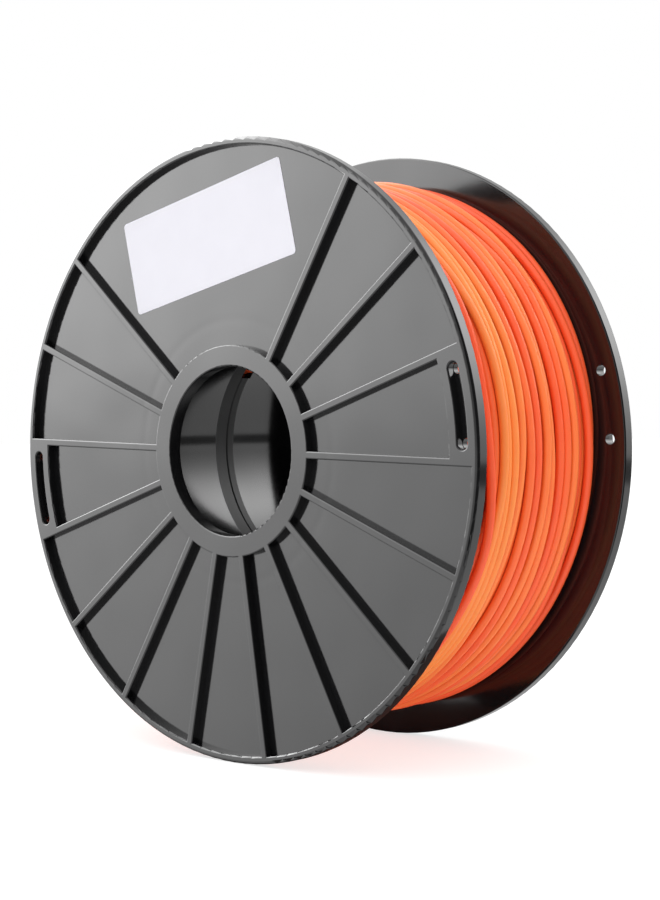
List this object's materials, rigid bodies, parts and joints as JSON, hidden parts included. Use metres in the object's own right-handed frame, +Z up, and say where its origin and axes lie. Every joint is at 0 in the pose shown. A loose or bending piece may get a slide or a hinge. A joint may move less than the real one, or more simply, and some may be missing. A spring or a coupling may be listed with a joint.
{
  "type": "filament spool",
  "caption": "Wide flanged spool with ribbed dished flanges, a hollow drum open at both ends, curved tie pockets beside the rim, a blank label, and filament wound between the flanges.",
  "frame": {"origin": "the spool's centre: on its axis, midway between the outer faces of its two flanges", "axes": "+Y along the axis that the spool turns about, away from the labelled flange; +Z up; +X to the right, seen from the label's side"},
  "size_m": [0.2, 0.0808, 0.2],
  "materials": {
    "spool_plastic": "moulded black polystyrene, satin gloss",
    "filament": "extruded orange ABS strand, smooth and slightly translucent",
    "label_paper": "uncoated white paper"
  },
  "bodies": {
    "root": {"front_half_spool": "spool_plastic", "rear_half_spool": "spool_plastic", "filament_winding": "filament", "filament_start": "filament", "filament_tail": "filament", "label": "label_paper"}
  },
  "joints": []
}
